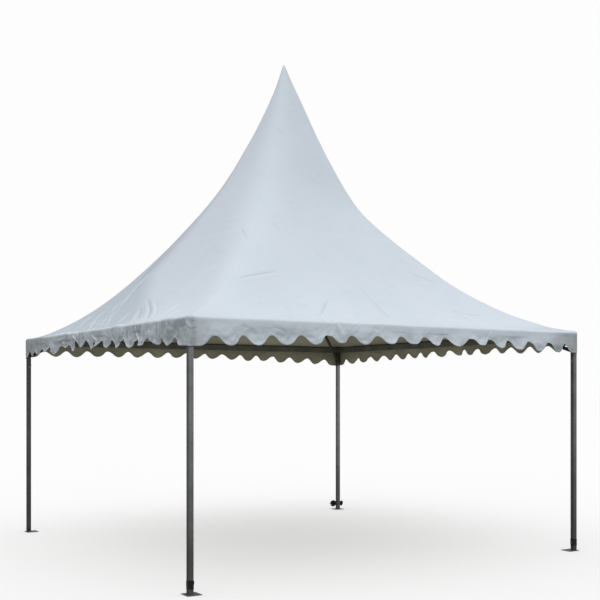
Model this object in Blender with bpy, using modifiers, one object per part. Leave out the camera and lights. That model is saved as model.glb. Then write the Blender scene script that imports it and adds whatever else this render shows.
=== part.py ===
# Pagoda marquee: a square peaked canopy on four legs, with a scalloped valance
# Metres, +Z up, origin on the ground at the centre of the square, +X to the right of the front
import math

import bmesh
import bpy
from mathutils import Matrix, Vector

# Driving dimensions
SIDE = 5.000               # outer face of leg to outer face of leg
EAVE_Z = 2.550             # top of the eave beams, where the fabric folds down
PEAK_Z = 5.940             # tip of the canopy
GAP = 0.0003               # left between two pieces that touch
WALL = 0.0025              # wall of every steel tube

LEG = 0.050                # square leg tube
BEAM_HEIGHT = 0.075        # eave beam, as wide as the leg
CONNECTOR_DROP = 0.205     # corner connector's body below the beam
SPIGOT = 0.120             # how far a connector's spigot runs into a tube

HIP_RADIUS = 0.021         # round hip bar
HIP_FOOT_Z = 2.346         # its axis at the inner corner of the connector
HIP_SLOPE = 0.378          # rise over run, in the diagonal plane
HUB_RADIUS = 0.045
HUB_BOTTOM, HUB_TOP = 3.540, 3.800
HUB_FLOOR = 0.050          # solid bottom of the hub
POST_RADIUS = 0.025        # king post
POST_TOP = 5.640
MAST_TIP, MAST_NECK = 0.008, 0.021      # radii of the mast head, under its tip and above its body
MAST_NECK_DROP, MAST_BODY_DROP = 0.090, 0.140
MAST_ROUND = 0.002

PLATE = 0.006              # base plate
PLATE_OUT = 0.0205         # plate beyond the leg's outer faces
PLATE_IN = 0.079           # plate beyond the leg's inner faces
PEG_RADIUS = 0.009
PEG_INSET = 0.055          # peg hole from the leg's inner faces
LASH_RADIUS, LASH_Z = 0.009, 0.080

STRAP_LOW, STRAP_HIGH = 0.057, 0.139
STRAP_THICK = 0.003
FOLD_LOW, FOLD_HIGH = 0.092, 0.137      # loose end, folded flat
FOLD_FRONT, FOLD_BACK = -0.020, 0.024
FOLD_OUT = 0.009
BOW_THICK = 0.012          # tied end, loop and tail
LOOP_RADIUS = 0.041
LOOP_X, LOOP_Z = -0.101, 0.088
TAIL_REACH = 0.095

SKIN = 0.004               # fabric, thicker than the real coated cloth
TIP_RADIUS = 0.012
VALANCE_LOW = 2.300        # lowest point of a lobe
ARCH_TOP = 2.385           # highest point of the hem between lobes
PITCH = 0.300              # one scallop
ARCHES = 16                # on each side

# Scallops of each side off centre, towards its right hand end seen from outside
HEM_SHIFT = {"front": 0.060, "right": -0.065, "back": 0.0, "left": -0.085}

# Hip lines as Bezier handles (distance from the axis, height): slack differs between corners
HIP_HANDLES = {
    "front_left": ((0.51, 4.47), (1.77, 2.92)),
    "front_right": ((0.64, 4.32), (1.43, 3.06)),
    "back_right": ((0.51, 4.47), (1.77, 2.92)),
    "back_left": ((0.34, 4.68), (2.12, 2.75)),
}
CORNERS = list(HIP_HANDLES)             # anticlockwise from above
SIDES = ["front", "right", "back", "left"]
TIP_ROUNDNESS = 0.5                     # plan section: 0.5 is a circle at the tip, 0 a square
ROUNDNESS_FADE = 1.4                    # how fast it turns square on the way down
ROOF_ROWS = 14
SIDE_STEPS = 8

half = SIDE / 2
leg_centre = half - LEG / 2
inner_face = half - LEG
frame_top = EAVE_Z - 0.0005
beam_bottom = frame_top - BEAM_HEIGHT
connector_bottom = beam_bottom - CONNECTOR_DROP
hip_corner = inner_face * math.sqrt(2)  # inner corner of the leg, from the axis


def clear_scene():
    for obj in list(bpy.data.objects):
        bpy.data.objects.remove(obj, do_unlink=True)


def new_collection(name):
    collection = bpy.data.collections.new(name)
    bpy.context.scene.collection.children.link(collection)
    return collection


def finish(name, colour, metallic, roughness):
    material = bpy.data.materials.new(name)
    material.use_nodes = True
    shader = material.node_tree.nodes["Principled BSDF"]
    shader.inputs["Base Color"].default_value = (*colour, 1)
    shader.inputs["Metallic"].default_value = metallic
    shader.inputs["Roughness"].default_value = roughness
    return material


def add_object(name, data, material=None, collection=None):
    obj = bpy.data.objects.new(name, data)
    (collection or parts).objects.link(obj)
    if material and data.materials:
        data.materials[0] = material
    elif material:
        data.materials.append(material)
    return obj


def add_cutter(name, data):
    obj = add_object(name, data, collection=cutters)
    obj.hide_render = True
    obj.display_type = "WIRE"
    return obj


def mesh_from(build, name):
    mesh = bpy.data.meshes.new(name)
    bm = bmesh.new()
    build(bm)
    bm.to_mesh(mesh)
    bm.free()
    return mesh


def box_mesh(name, low, high):
    low, high = Vector(low), Vector(high)
    place = Matrix.Translation((low + high) / 2) @ Matrix.Diagonal((*(high - low), 1))
    return mesh_from(lambda bm: bmesh.ops.create_cube(bm, size=1, matrix=place), name)


def rod_mesh(name, radius, start, end, caps=True, segments=24):
    start, end = Vector(start), Vector(end)
    run = end - start
    turn = run.to_track_quat("Z", "Y").to_matrix().to_4x4()
    place = Matrix.Translation((start + end) / 2) @ turn
    return mesh_from(lambda bm: bmesh.ops.create_cone(
        bm, cap_ends=caps, segments=segments, radius1=radius, radius2=radius,
        depth=run.length, matrix=place), name)


def outline_curve(name, outlines, thickness):
    curve = bpy.data.curves.new(name, "CURVE")
    curve.dimensions = "2D"
    curve.fill_mode = "BOTH"
    curve.extrude = thickness / 2
    for points in outlines:
        spline = curve.splines.new("POLY")
        spline.points.add(len(points) - 1)
        for point, (x, y) in zip(spline.points, points):
            point.co = (x, y, 0, 1)
        spline.use_cyclic_u = True
    return curve


def rectangle(width, depth):
    x, y = width / 2, depth / 2
    return [(-x, -y), (x, -y), (x, y), (-x, y)]


def baked(obj, name):
    # The object's evaluated shape in world space, welded, as a plain mesh
    bpy.context.view_layer.update()
    evaluated = obj.evaluated_get(bpy.context.evaluated_depsgraph_get())
    mesh = bpy.data.meshes.new_from_object(evaluated)
    mesh.transform(obj.matrix_world)
    mesh.name = name
    bm = bmesh.new()
    bm.from_mesh(mesh)
    bmesh.ops.remove_doubles(bm, verts=bm.verts, dist=0.00001)
    bm.to_mesh(mesh)
    bm.free()
    bpy.data.objects.remove(obj, do_unlink=True)
    return mesh


def tube_mesh(name, width, depth, length, place):
    # Rectangular tube along its own Z, centred on the given placement
    outlines = [rectangle(width, depth), rectangle(width - 2 * WALL, depth - 2 * WALL)]
    obj = add_object(name, outline_curve(name, outlines, length))
    obj.matrix_world = place
    return baked(obj, name)


def combine(name, base, operands, operation):
    # Boolean of a mesh with several others, as a plain mesh
    obj = add_object(name, base)
    helpers = [add_cutter(f"{name}_{index}", mesh) for index, mesh in enumerate(operands)]
    for helper in helpers:
        boolean = obj.modifiers.new("Boolean", "BOOLEAN")
        boolean.operation = operation
        boolean.solver = "EXACT"
        boolean.object = helper
    result = baked(obj, name)
    for helper in helpers:
        bpy.data.objects.remove(helper, do_unlink=True)
    return result


def diagonal(distance, height):
    # Point in the front left diagonal plane
    return Vector((-distance / math.sqrt(2), -distance / math.sqrt(2), height))


def hip_axis(distance):
    return diagonal(distance, HIP_FOOT_Z + HIP_SLOPE * (hip_corner - distance))


def around(prefix, mesh, material, names):
    # One copy for each corner or side, turned about the centre of the tent
    for quarter, name in enumerate(names):
        obj = add_object(f"{prefix}_{name}", mesh, material)
        obj.rotation_euler.z = quarter * math.pi / 2


def make_legs():
    bottom, top = PLATE + GAP, connector_bottom - GAP
    place = Matrix.Translation((-leg_centre, -leg_centre, (bottom + top) / 2))
    tube = tube_mesh("leg", LEG, LEG, top - bottom, place)
    lash = rod_mesh("lash", LASH_RADIUS, (-leg_centre, -half - WALL, LASH_Z),
                    (-leg_centre, -inner_face + WALL, LASH_Z), segments=16)
    around("leg", combine("leg", tube, [lash], "DIFFERENCE"), steel, CORNERS)


def make_base_plates():
    low, high = -half - PLATE_OUT, -inner_face + PLATE_IN
    plate = box_mesh("base_plate", (low, low, 0), (high, high, PLATE))
    away, near = -inner_face + PEG_INSET, -leg_centre
    pegs = [rod_mesh("peg", PEG_RADIUS, (x, y, -PLATE), (x, y, 2 * PLATE), segments=16)
            for x, y in ((away, away), (away, near), (near, away))]
    around("base_plate", combine("base_plate", plate, pegs, "DIFFERENCE"), steel, CORNERS)


def make_connectors():
    # Welded corner: body, spigots into two beams and the leg, and a stub for the hip bar
    body = box_mesh("body", (-half, -half, connector_bottom), (-inner_face, -inner_face, frame_top))
    slim = LEG / 2 - WALL - GAP
    low, high = beam_bottom + WALL + GAP, frame_top - WALL - GAP
    overlap = 0.010                        # of a spigot with the body
    root = -inner_face - overlap
    reach = -inner_face + SPIGOT
    beam_x = box_mesh("beam_x", (root, -leg_centre - slim, low), (reach, -leg_centre + slim, high))
    beam_y = box_mesh("beam_y", (-leg_centre - slim, root, low), (-leg_centre + slim, reach, high))
    down = box_mesh("down", (-leg_centre - slim, -leg_centre - slim, connector_bottom - SPIGOT),
                    (-leg_centre + slim, -leg_centre + slim, connector_bottom + overlap))
    stub = rod_mesh("stub", HIP_RADIUS - WALL - GAP, hip_axis(hip_corner + LEG / 2),
                    hip_axis(hip_corner - SPIGOT))
    mesh = combine("corner_connector", body, [beam_x, beam_y, down, stub], "UNION")
    around("corner_connector", mesh, steel, CORNERS)


def make_beams():
    length = 2 * (inner_face - GAP)
    turn = Matrix.Rotation(math.pi / 2, 4, "Y")
    place = Matrix.Translation((0, -leg_centre, frame_top - BEAM_HEIGHT / 2)) @ turn
    mesh = tube_mesh("eave_beam", BEAM_HEIGHT, LEG, length, place)
    around("eave_beam", mesh, steel, SIDES)


def make_hip_bars():
    # Round tubes, each coped to the corner connector and to the hub
    bare = rod_mesh("hip_bar", HIP_RADIUS, hip_axis(hip_corner + LEG / 2), hip_axis(HUB_RADIUS / 2),
                    caps=False)
    obj = add_object("hip_bar", bare)
    shell = obj.modifiers.new("Wall", "SOLIDIFY")
    shell.thickness = WALL
    shell.offset = -1
    shell.use_even_offset = True
    tube = baked(obj, "hip_bar")
    corner = box_mesh("corner", (-half - GAP, -half - GAP, connector_bottom),
                      (-inner_face + GAP, -inner_face + GAP, EAVE_Z))
    hub = rod_mesh("hub", HUB_RADIUS + 2 * GAP, (0, 0, HUB_BOTTOM - WALL), (0, 0, HUB_TOP + WALL),
                   segments=32)
    around("hip_bar", combine("hip_bar", tube, [corner, hub], "DIFFERENCE"), steel, CORNERS)


def turned_mesh(name, profile, segments=32):
    # Profile of (radius, height) from top to bottom, turned about the Z axis
    mesh = bpy.data.meshes.new(name)
    count = len(profile)
    mesh.from_pydata([(r, 0, z) for r, z in profile], [(i, i + 1) for i in range(count - 1)], [])
    obj = add_object(name, mesh)
    screw = obj.modifiers.new("Screw", "SCREW")
    screw.steps = screw.render_steps = segments
    screw.use_merge_vertices = True
    screw.merge_threshold = 0.00001
    return baked(obj, name)


def make_hub():
    bore = POST_RADIUS + GAP
    floor = HUB_BOTTOM + HUB_FLOOR
    chamfer = 0.004
    profile = [(0, floor), (bore, floor), (bore, HUB_TOP), (HUB_RADIUS, HUB_TOP),
               (HUB_RADIUS, HUB_BOTTOM + chamfer), (HUB_RADIUS - chamfer, HUB_BOTTOM), (0, HUB_BOTTOM)]
    body = turned_mesh("centre_hub", profile)
    stubs = []
    for quarter in range(4):
        stub = rod_mesh("stub", HIP_RADIUS - WALL - GAP, hip_axis(HUB_RADIUS - chamfer),
                        hip_axis(HUB_RADIUS + SPIGOT))
        stub.transform(Matrix.Rotation(quarter * math.pi / 2, 4, "Z"))
        stubs.append(stub)
    add_object("centre_hub", combine("centre_hub", body, stubs, "UNION"), steel)


def make_king_post():
    bottom, top = HUB_BOTTOM + HUB_FLOOR + GAP, POST_TOP
    obj = add_object("king_post", rod_mesh("king_post", POST_RADIUS, (0, 0, bottom), (0, 0, top),
                                           caps=False), steel)
    shell = obj.modifiers.new("Wall", "SOLIDIFY")
    shell.thickness = WALL
    shell.offset = -1
    shell.use_even_offset = True


def make_mast_head():
    # Turned plug in the top of the king post, tapering to the tip that lifts the fabric
    bore = POST_RADIUS - WALL - GAP
    seat = POST_TOP + GAP
    tip = PEAK_Z - SKIN - GAP
    profile = [(0, tip), (MAST_TIP - MAST_ROUND, tip - MAST_ROUND / 2), (MAST_TIP, tip - 2 * MAST_ROUND),
               (MAST_NECK, tip - MAST_NECK_DROP), (POST_RADIUS, tip - MAST_BODY_DROP),
               (POST_RADIUS, seat), (bore, seat), (bore, seat - SPIGOT / 2), (0, seat - SPIGOT / 2)]
    add_object("mast_head", turned_mesh("mast_head", profile, 24), steel)


def hip_point(corner, t):
    # Cubic Bezier from the tip to the eave: distance from the axis, and height
    edge = (half + GAP + SKIN) * math.sqrt(2)
    points = [(TIP_RADIUS, PEAK_Z), *HIP_HANDLES[corner], (edge, EAVE_Z + SKIN)]
    weights = [(1 - t) ** 3, 3 * t * (1 - t) ** 2, 3 * t * t * (1 - t), t ** 3]
    return Vector([sum(w * p[axis] for w, p in zip(weights, points)) for axis in (0, 1)])


def roof_point(side, u, t):
    # One point of a side's panel; u runs from -1 to 1 between its hips
    blend = (u + 1) / 2
    blend = blend * blend * (3 - 2 * blend)
    start, end = CORNERS[side], CORNERS[(side + 1) % 4]
    radius, height = hip_point(start, t).lerp(hip_point(end, t), blend)
    roundness = TIP_ROUNDNESS * (1 - t) ** ROUNDNESS_FADE
    bulge = (1 + abs(u) ** (1 / roundness)) ** roundness if t < 1 else 1
    scale = radius * 2 ** (roundness - 0.5) / bulge
    return Matrix.Rotation(side * math.pi / 2, 3, "Z") @ Vector((u * scale, -scale, height))


def make_roof():
    # A loft from the round tip to the square eave, as one skin
    bm = bmesh.new()
    rings = []
    for row in range(ROOF_ROWS + 1):
        t = row / ROOF_ROWS
        rings.append([bm.verts.new(roof_point(side, -1 + 2 * step / SIDE_STEPS, t))
                      for side in range(4) for step in range(SIDE_STEPS)])
    count = len(rings[0])
    for upper, lower in zip(rings, rings[1:]):
        for index in range(count):
            after = (index + 1) % count
            bm.faces.new((lower[index], lower[after], upper[after], upper[index]))
    bm.faces.new(rings[0])
    mesh = bpy.data.meshes.new("roof_canopy")
    bm.to_mesh(mesh)
    bm.free()
    mesh.shade_smooth()
    obj = add_object("roof_canopy", mesh, fabric)
    shell = obj.modifiers.new("Cloth", "SOLIDIFY")
    shell.thickness = SKIN
    shell.offset = -1
    shell.use_even_offset = True


def hem(width, shift, steps=8):
    # Points along the scalloped lower edge, from left to right
    middle, swing = (ARCH_TOP + VALANCE_LOW) / 2, (ARCH_TOP - VALANCE_LOW) / 2
    start = shift - PITCH * ARCHES / 2
    points = [(-width / 2, VALANCE_LOW)]
    for index in range(ARCHES * steps + 1):
        wave = math.cos(2 * math.pi * index / steps)
        points.append((start + PITCH * index / steps, middle - swing * wave))
    points.append((width / 2, VALANCE_LOW))
    return points


def make_valances():
    # Front and back reach round the corners; left and right fit between them
    top = EAVE_Z - GAP
    for quarter, side in enumerate(SIDES):
        width = 2 * (half + GAP + SKIN) if side in ("front", "back") else 2 * half
        outline = hem(width, HEM_SHIFT[side]) + [(width / 2, top), (-width / 2, top)]
        obj = add_object(f"valance_{side}", outline_curve("valance", [outline], SKIN))
        stand = Matrix.Translation((0, -half - GAP - SKIN / 2, 0)) @ Matrix.Rotation(math.pi / 2, 4, "X")
        obj.matrix_world = Matrix.Rotation(quarter * math.pi / 2, 4, "Z") @ stand
        add_object(f"valance_{side}", baked(obj, f"valance_{side}"), fabric)


def strap_ring():
    # Webbing wound round the leg, centred on the origin in plan
    inner, outer = LEG + 2 * GAP, LEG + 2 * (GAP + STRAP_THICK)
    height = STRAP_HIGH - STRAP_LOW
    curve = outline_curve("strap", [rectangle(outer, outer), rectangle(inner, inner)], height)
    obj = add_object("strap", curve)
    obj.matrix_world = Matrix.Translation((0, 0, (STRAP_LOW + STRAP_HIGH) / 2))
    return baked(obj, "strap")


def make_tucked_strap(name, x, y):
    # The loose end is folded flat against the right hand face, and sinks a little into the ring
    sink = 0.001
    face = LEG / 2 + GAP + STRAP_THICK
    fold = box_mesh("fold", (face - sink, FOLD_FRONT, FOLD_LOW), (face + FOLD_OUT, FOLD_BACK, FOLD_HIGH))
    mesh = combine(name, strap_ring(), [fold], "UNION")
    obj = add_object(name, mesh, webbing)
    obj.location = (x, y, 0)


def bow_outline(steps=12):
    # Round loop to the left, drawn in to a waist, then flat across the leg
    waist, waist_height = -0.040, 0.026
    band, band_low, band_high = 0.024, 0.022, 0.030
    arc = [math.pi * index / steps for index in range(steps + 1)]
    outline = [(LOOP_X - LOOP_RADIUS * math.sin(angle), LOOP_Z + LOOP_RADIUS * math.cos(angle))
               for angle in arc]
    return outline + [(waist, LOOP_Z - waist_height), (band, LOOP_Z - band_low),
                      (band, LOOP_Z + band_high), (waist, LOOP_Z + waist_height)]


def tail_outline():
    # Flat end that hangs towards the front, deeper where it leaves the leg
    low, end_high, leg_high = 0.060, 0.112, 0.135
    leg_front, leg_back = -0.030, 0.022
    return [(-TAIL_REACH, low), (-TAIL_REACH, end_high), (leg_front, leg_high), (leg_back, leg_high),
            (leg_back, low)]


def make_tied_strap(name, x, y):
    # Tied round the leg, with a loop to the left and a flat end on the right hand face
    sink = 0.001
    face = LEG / 2 + GAP + STRAP_THICK + BOW_THICK / 2 - sink
    upright = Matrix.Rotation(math.pi / 2, 4, "X")
    bow = add_object("bow", outline_curve("bow", [bow_outline()], BOW_THICK))
    bow.matrix_world = Matrix.Translation((0, -face, 0)) @ upright
    tail = add_object("tail", outline_curve("tail", [tail_outline()], BOW_THICK))
    turn = Matrix.Rotation(math.pi / 2, 4, "Z")
    tail.matrix_world = Matrix.Translation((face, 0, 0)) @ turn @ upright
    mesh = combine(name, strap_ring(), [baked(bow, "bow"), baked(tail, "tail")], "UNION")
    strap = add_object(name, mesh, webbing)
    strap.location = (x, y, 0)


clear_scene()
parts = new_collection("pagoda_marquee")
cutters = new_collection("cutters")
steel = finish("galvanised_steel", (0.20, 0.21, 0.21), 0.6, 0.5)
fabric = finish("coated_fabric", (0.66, 0.71, 0.75), 0, 0.6)
webbing = finish("black_webbing", (0.02, 0.02, 0.02), 0, 0.8)

make_legs()
make_base_plates()
make_connectors()
make_beams()
make_hip_bars()
make_hub()
make_king_post()
make_mast_head()
make_roof()
make_valances()
make_tucked_strap("foot_strap_front_left", -leg_centre, -leg_centre)
make_tucked_strap("foot_strap_front_right", leg_centre, -leg_centre)
make_tied_strap("foot_strap_back_right", leg_centre, leg_centre)
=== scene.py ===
# Pagoda marquee, dressed: coated cloth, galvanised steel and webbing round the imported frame
import math
import random

import bmesh
import bpy
import numpy as np
from mathutils import Matrix, Vector, noise
from mathutils.bvhtree import BVHTree


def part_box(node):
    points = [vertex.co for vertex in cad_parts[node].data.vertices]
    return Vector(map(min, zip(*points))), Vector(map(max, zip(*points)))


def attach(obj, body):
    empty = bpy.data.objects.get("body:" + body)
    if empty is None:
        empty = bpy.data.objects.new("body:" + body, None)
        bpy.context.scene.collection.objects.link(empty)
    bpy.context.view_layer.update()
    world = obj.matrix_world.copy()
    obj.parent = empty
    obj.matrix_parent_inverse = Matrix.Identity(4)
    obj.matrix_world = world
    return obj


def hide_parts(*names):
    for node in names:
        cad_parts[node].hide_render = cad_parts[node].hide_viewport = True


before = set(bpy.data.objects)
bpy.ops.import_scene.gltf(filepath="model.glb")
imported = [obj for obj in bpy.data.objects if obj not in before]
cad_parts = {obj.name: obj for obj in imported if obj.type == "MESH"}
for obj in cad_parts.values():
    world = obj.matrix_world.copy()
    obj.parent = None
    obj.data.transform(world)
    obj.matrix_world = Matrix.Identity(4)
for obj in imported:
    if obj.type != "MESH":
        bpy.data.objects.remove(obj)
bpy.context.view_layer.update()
corners = ["front_left", "front_right", "back_right", "back_left"]     # anticlockwise from above
sides = ["front", "right", "back", "left"]                             # side s runs from corner s to s + 1
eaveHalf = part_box("roof_canopy")[1].x + 0.008                          # outer face of the cloth, rolled over
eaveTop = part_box("valance_front")[1].z + 0.0013
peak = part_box("roof_canopy")[1].z
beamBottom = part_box("eave_beam_front")[0].z
quarter = math.pi / 2


# The photograph's own view, 600 x 600 pixels, read from the eave corners, the feet and the legs
photo = {
    "place": Vector((-6.481, -10.863, 1.869)),
    "heading": math.radians(31.736),       # from +Y towards +X
    "lens": 60.67,
    "sensor": 36.0,
    "size": 600,
    "horizon": 391.06,                     # pixel row of the horizon
}


def photoRay(x, y):
    # Direction from the camera through a pixel of the photograph
    turn, middle = photo["heading"], photo["size"] / 2
    ahead = Vector((math.sin(turn), math.cos(turn), 0)) * photo["lens"] / photo["sensor"] * photo["size"]
    across = Vector((math.cos(turn), -math.sin(turn), 0)) * (x - middle)
    return ahead + across + Vector((0, 0, photo["horizon"] - y))


def makeCamera():
    data = bpy.data.cameras.new("photoCamera")
    data.lens = photo["lens"]
    data.sensor_width = photo["sensor"]
    data.shift_y = (photo["horizon"] - photo["size"] / 2) / photo["size"]
    data.clip_end = 2000
    camera = bpy.data.objects.new("photoCamera", data)
    camera.location = photo["place"]
    camera.rotation_euler = (quarter, 0, -photo["heading"])
    bpy.context.scene.collection.objects.link(camera)
    bpy.context.scene.camera = camera


class Wire:
    # One output of a node tree: sums with numbers and other wires add Math nodes
    def __init__(self, tree, socket=None):
        self.tree = tree
        self.socket = socket

    def node(self, kind, settings=None, sockets=None, out=0):
        made = self.tree.nodes.new("ShaderNode" + kind)
        for name, value in (settings or {}).items():
            setattr(made, name, value)
        for name, value in (sockets or {}).items():
            if isinstance(value, Wire):
                self.tree.links.new(value.socket, made.inputs[name])
            else:
                made.inputs[name].default_value = value
        return Wire(self.tree, made.outputs[out])

    def reckon(self, operation, *values):
        # A Math node on these values alone
        return self.node("Math", {"operation": operation}, dict(enumerate(values)))

    def math(self, operation, *others):
        # A Math node on this wire, then the others
        return self.reckon(operation, self, *others)

    def __add__(self, other):
        return self.math("ADD", other)

    __radd__ = __add__

    def __sub__(self, other):
        return self.math("SUBTRACT", other)

    def __rsub__(self, other):
        return self.reckon("SUBTRACT", other, self)

    def __mul__(self, other):
        return self.math("MULTIPLY", other)

    __rmul__ = __mul__

    def __truediv__(self, other):
        return self.math("DIVIDE", other)

    def __pow__(self, other):
        return self.math("POWER", other)

    def __abs__(self):
        return self.math("ABSOLUTE")

    def wave(self, length):
        # Sine that rises and falls once in that length
        return (self * (2 * math.pi / length)).math("SINE")

    def larger(self, other):
        return self.math("MAXIMUM", other)

    def smaller(self, other):
        return self.math("MINIMUM", other)

    def bell(self, width):
        # 1 where this wire is 0, falling off over the width on both sides
        return (-1 * (self / width) ** 2).math("EXPONENT")

    def fade(self, low, high):
        # 0 at low, 1 at high, smooth between; low may be the larger
        return self.node("MapRange", {"interpolation_type": "SMOOTHSTEP"},
                         {"Value": self, "From Min": low, "From Max": high})

    def under(self, limit, soft):
        # 1 where this wire is under the limit and 0 above it, with an edge that soft
        return self.fade(limit + soft, limit - soft)

    def noise(self, scale, detail, rough):
        return self.node("TexNoise", None, {"Vector": self, "Scale": scale, "Detail": detail,
                                            "Roughness": rough})

    def stretch(self, x, y, z):
        return self.node("VectorMath", {"operation": "MULTIPLY"}, {0: self, 1: (x, y, z)})

    def parts(self):
        split = self.node("SeparateXYZ", None, {"Vector": self})
        return [Wire(self.tree, output) for output in split.socket.node.outputs]

    def mix(self, first, second):
        # Colour between two colours, by this wire
        return self.node("Mix", {"data_type": "RGBA"}, {0: self, 6: first, 7: second}, out=2)


def newFinish(name, fixed):
    # A material with its shader, fixed values set on it, and a wire to start from
    material = bpy.data.materials.new(name)
    material.use_nodes = True
    shader = material.node_tree.nodes["Principled BSDF"]
    for socket, value in fixed.items():
        shader.inputs[socket].default_value = value
    return material, shader, Wire(material.node_tree)


def connect(shader, **wires):
    for name, wire in wires.items():
        wire.tree.links.new(wire.socket, shader.inputs[name.replace("_", " ")])


def relief(height):
    # Bump from a height in metres
    return height.node("Bump", None, {"Strength": 1.0, "Distance": 1.0, "Height": height})


def grey(value):
    return (value, value, value, 1)


clothLook = {
    "clean": (0.680, 0.757, 0.836, 1),     # outer coating
    "dull": (0.630, 0.705, 0.785, 1),
    "shade": (0.520, 0.595, 0.672, 1),     # painted shade on the strip along the far hip
    # dirt, also used for painted shade in the folds and below the fold
    "grimeAndShade": (0.335, 0.385, 0.402, 1),
    "welt": (0.790, 0.855, 0.915, 1),      # welded seams and hem binding, also used as the painted highlight along fold ridges
    # underside: a pale coating tinted khaki, the tint being painted bounce light from the ground
    "inner": (0.640, 0.625, 0.450, 1),
    "innerDark": (0.500, 0.485, 0.340, 1),
    "weave": 0.0021,                       # base cloth that shows through the coating
    "seamHalf": 0.018,
    "ringSeam": 1.88,                      # slope distance from the eave to the seam round the peak
    "stripSeam": 0.825,                    # each side is three strips wide: seams this far off its middle
    "bindingWidth": 0.019,
    "stitch": 0.006,                       # length of the stitches that hold the binding
    "stitchLine": 0.013,                   # their height above the hem
}


def clothFinish(name, outer=True, hem=False):
    # place: metres along the side, metres up the slope (or up from the hem), metres from the hip
    material, shader, start = newFinish(name, {"Roughness": 0.5, "Sheen Weight": 0.05,
                                               "Sheen Roughness": 0.5})
    place = start.node("Attribute", {"attribute_name": "clothPlace"}, out="Vector")
    body = start.node("TexCoord", out="Object")
    along, up, side = place.parts()
    cloud = body.noise(1.1, 4, 0.55)
    mottle = body.noise(7.0, 4, 0.6)
    threads = along.wave(clothLook["weave"]) * up.wave(clothLook["weave"])
    height = (body.noise(16.0, 3, 0.5) - 0.5) * 0.0016 + threads * 0.00002
    half = clothLook["seamHalf"]
    strips = abs(abs(along) - clothLook["stripSeam"]).under(half * 0.5, 0.002)
    if not outer:
        # Underside: pale, its khaki tint painted bounce light from the ground; clouded, mottled and darker
        # along the seam strips
        worn = cloud.fade(0.35, 0.7)
        colour = worn.mix(clothLook["innerDark"], clothLook["inner"])
        colour = (mottle.fade(0.45, 0.8) * 0.35 + strips * 0.8).mix(colour, clothLook["innerDark"])
        connect(shader, Base_Color=colour, Normal=relief(height + strips * 0.0008))
        return material
    runs = place.stretch(26, 1.6, 1).noise(1.0, 4, 0.6)          # marks that rain left down the slope
    dull = cloud.fade(0.38, 0.68) * 0.40 + runs.fade(0.5, 0.8) * 0.20
    colour = dull.mix(clothLook["clean"], clothLook["dull"])
    if hem:
        colour, height = hemWearAndShade(body, along, up, colour, height)
    else:
        # Painted shade along the far hip of the left panel
        colour = farHipShade(body).mix(colour, clothLook["shade"])
        hip = side.under(half, 0.003)
        ring = abs(up - clothLook["ringSeam"]).under(half, 0.003)
        welt = hip.larger(ring).larger(strips * 0.7)
        edgeGrime = up.fade(0.20, 0.0) * runs.fade(0.42, 0.7)
        x, y, z = body.parts()
        # Darker in a band just above the eave by the front right and back left corners, broken up by the
        # mottle
        darkerByCorners = (x * y).fade(-3.6, -5.8) * z.fade(eaveTop + 0.11, eaveTop + 0.01) * mottle.fade(0.2, 0.6)
        dirt = edgeGrime * 0.10 + mottle.fade(0.55, 0.8) * 0.12 + darkerByCorners * 0.45
        colour = dirt.mix(colour, clothLook["grimeAndShade"])
        colour = (welt * 0.08).mix(colour, clothLook["welt"])
        height = height + welt * 0.0004
    # Painted highlights and shade along the folds, as well as their bumps
    colour, height = creaseHighlightAndShade(start, colour, height)
    rough = 0.42 + mottle * 0.16 + dull * 0.1
    connect(shader, Base_Color=colour, Roughness=rough, Normal=relief(height))
    return material


def farHipShade(body):
    # Painted shade on the left panel beside its far hip, wider towards the eave
    x, y, z = body.parts()
    share = y / (-1 * x)                                          # 1 on the far hip, -1 on the near one
    edge = 0.38 - (3.3 - z).larger(0.0) * 1.13
    return (share - edge).fade(-0.12, 0.24) * share.fade(1.9, 1.1) * x.fade(-0.05, -0.4)


def hemWearAndShade(body, along, up, colour, height):
    # Dirt and painted shade below the fold, worst on the left and by the far left and front right corners, and
    # the binding
    x, y, z = body.parts()
    binding = up.under(clothLook["bindingWidth"], 0.002)
    leftSide = x.fade(-2.40, -2.47)
    farLeft = leftSide * y.fade(1.2, 2.2)
    ends = ((x * y).fade(-4.7, -5.9) * 1.35).larger(farLeft) * 0.62
    near = (x + y).fade(-4.45, -5.0) * 0.26
    small = body.noise(9.0, 4, 0.62).fade(0.42, 0.66) * (0.18 + leftSide * 0.20)
    broad = body.noise(3.1, 3, 0.55).fade(0.40, 0.60) * (0.08 + leftSide * 0.21)
    streaks = body.stretch(1, 26, 6).noise(1.0, 4, 0.6).fade(0.46, 0.64) * leftSide * 0.26
    # Painted shade of the hanging cloth: darker down from the fold, lower down on the front, from the fold
    # itself on the left and by the corners
    front = z.fade(eaveTop - 0.010, eaveTop - 0.140)
    fold = (z - farLeft * 0.022).fade(eaveTop + 0.012, eaveTop - 0.030)
    below = front + (fold - front) * leftSide.larger(near * 3).larger(ends)
    dirtAndShade = (small + broad + streaks + leftSide * 0.30 + ends + near) * below
    colour = (dirtAndShade * (1 - binding * 0.2)).mix(colour, clothLook["grimeAndShade"])
    worn = body.noise(5.0, 2, 0.5).fade(0.40, 0.66)
    colour = (binding * worn * (0.22 + leftSide * 0.2)).mix(colour, clothLook["welt"])
    sewn = abs(up - clothLook["stitchLine"]).fade(0.0016, 0.0006)
    stitch = along.wave(clothLook["stitch"]).fade(-0.3, 0.3) * sewn
    colour = (stitch * 0.5).mix(colour, clothLook["grimeAndShade"])
    return colour, height + binding * 0.0008 - stitch * 0.0004


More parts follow.
